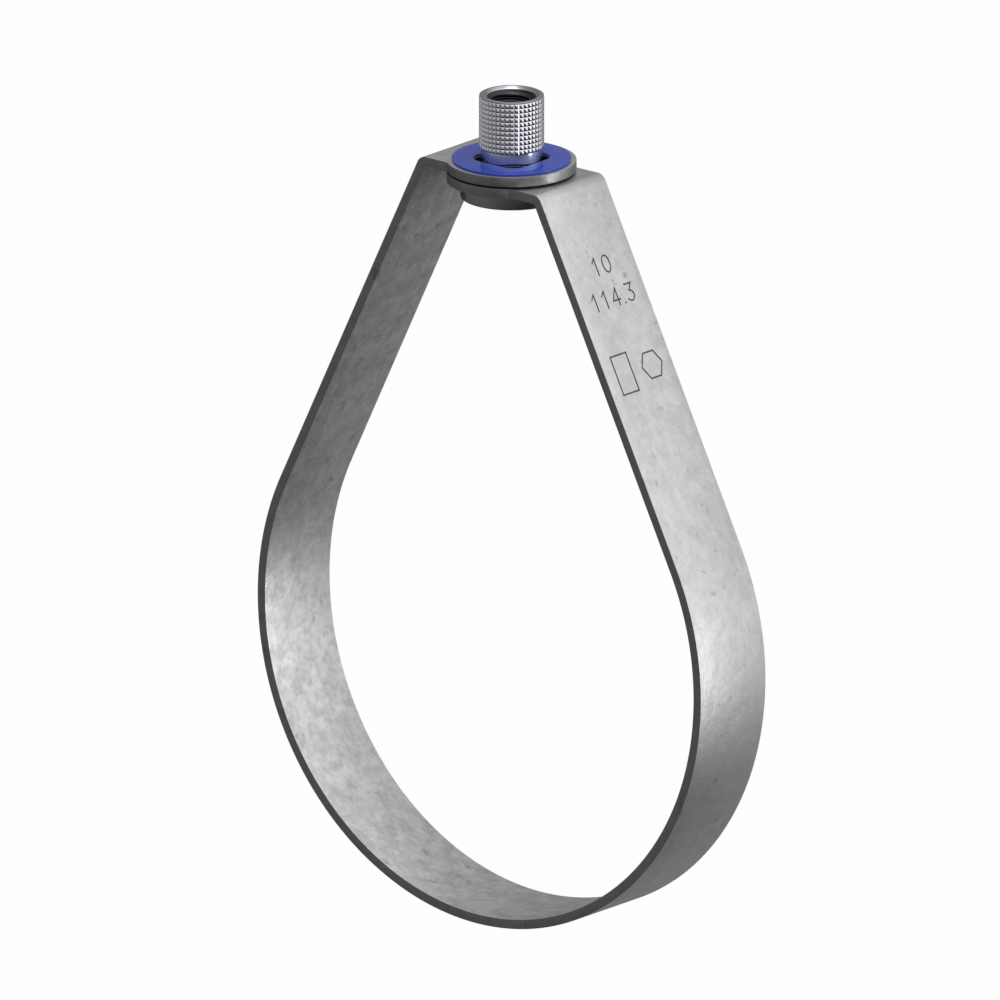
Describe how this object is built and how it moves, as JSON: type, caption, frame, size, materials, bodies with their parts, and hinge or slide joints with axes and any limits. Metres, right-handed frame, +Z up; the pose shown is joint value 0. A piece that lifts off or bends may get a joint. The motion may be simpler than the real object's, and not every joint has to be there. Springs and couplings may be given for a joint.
{
  "type": "swivel ring hanger",
  "caption": "Teardrop pipe ring bent from flat strip, with overlapped round ends that swivel on a captive knurled nut for a threaded rod.",
  "frame": {"origin": "on the swivel axis at the nut's top rim, where the threaded rod enters; the ring's centre is 118.5 mm straight below", "axes": "+Z up along the rod, X across the ring, Y along the pipe; the upper pad's leg is at -X and the lower pad's at +X"},
  "size_m": [0.121, 0.0272, 0.179],
  "materials": {
    "galvanised_sheet": "satin galvanised",
    "plated_steel": "bright plated, cross-knurled",
    "blue_plastic": "gloss"
  },
  "bodies": {
    "nut": {"knurled_nut": "plated_steel"},
    "washer": {"blue_washer": "blue_plastic"},
    "ring": {"ring_band": "galvanised_sheet"}
  },
  "joints": [
    {"name": "lift", "type": "slide", "parent": "nut", "child": "washer", "axis": [0, 0, 1], "range_m": [0, 0.0023]},
    {"name": "swivel", "type": "hinge", "parent": "washer", "child": "ring", "pos_m": [0, 0, -0.0158], "axis": [0, 0, 1], "continuous": true}
  ]
}
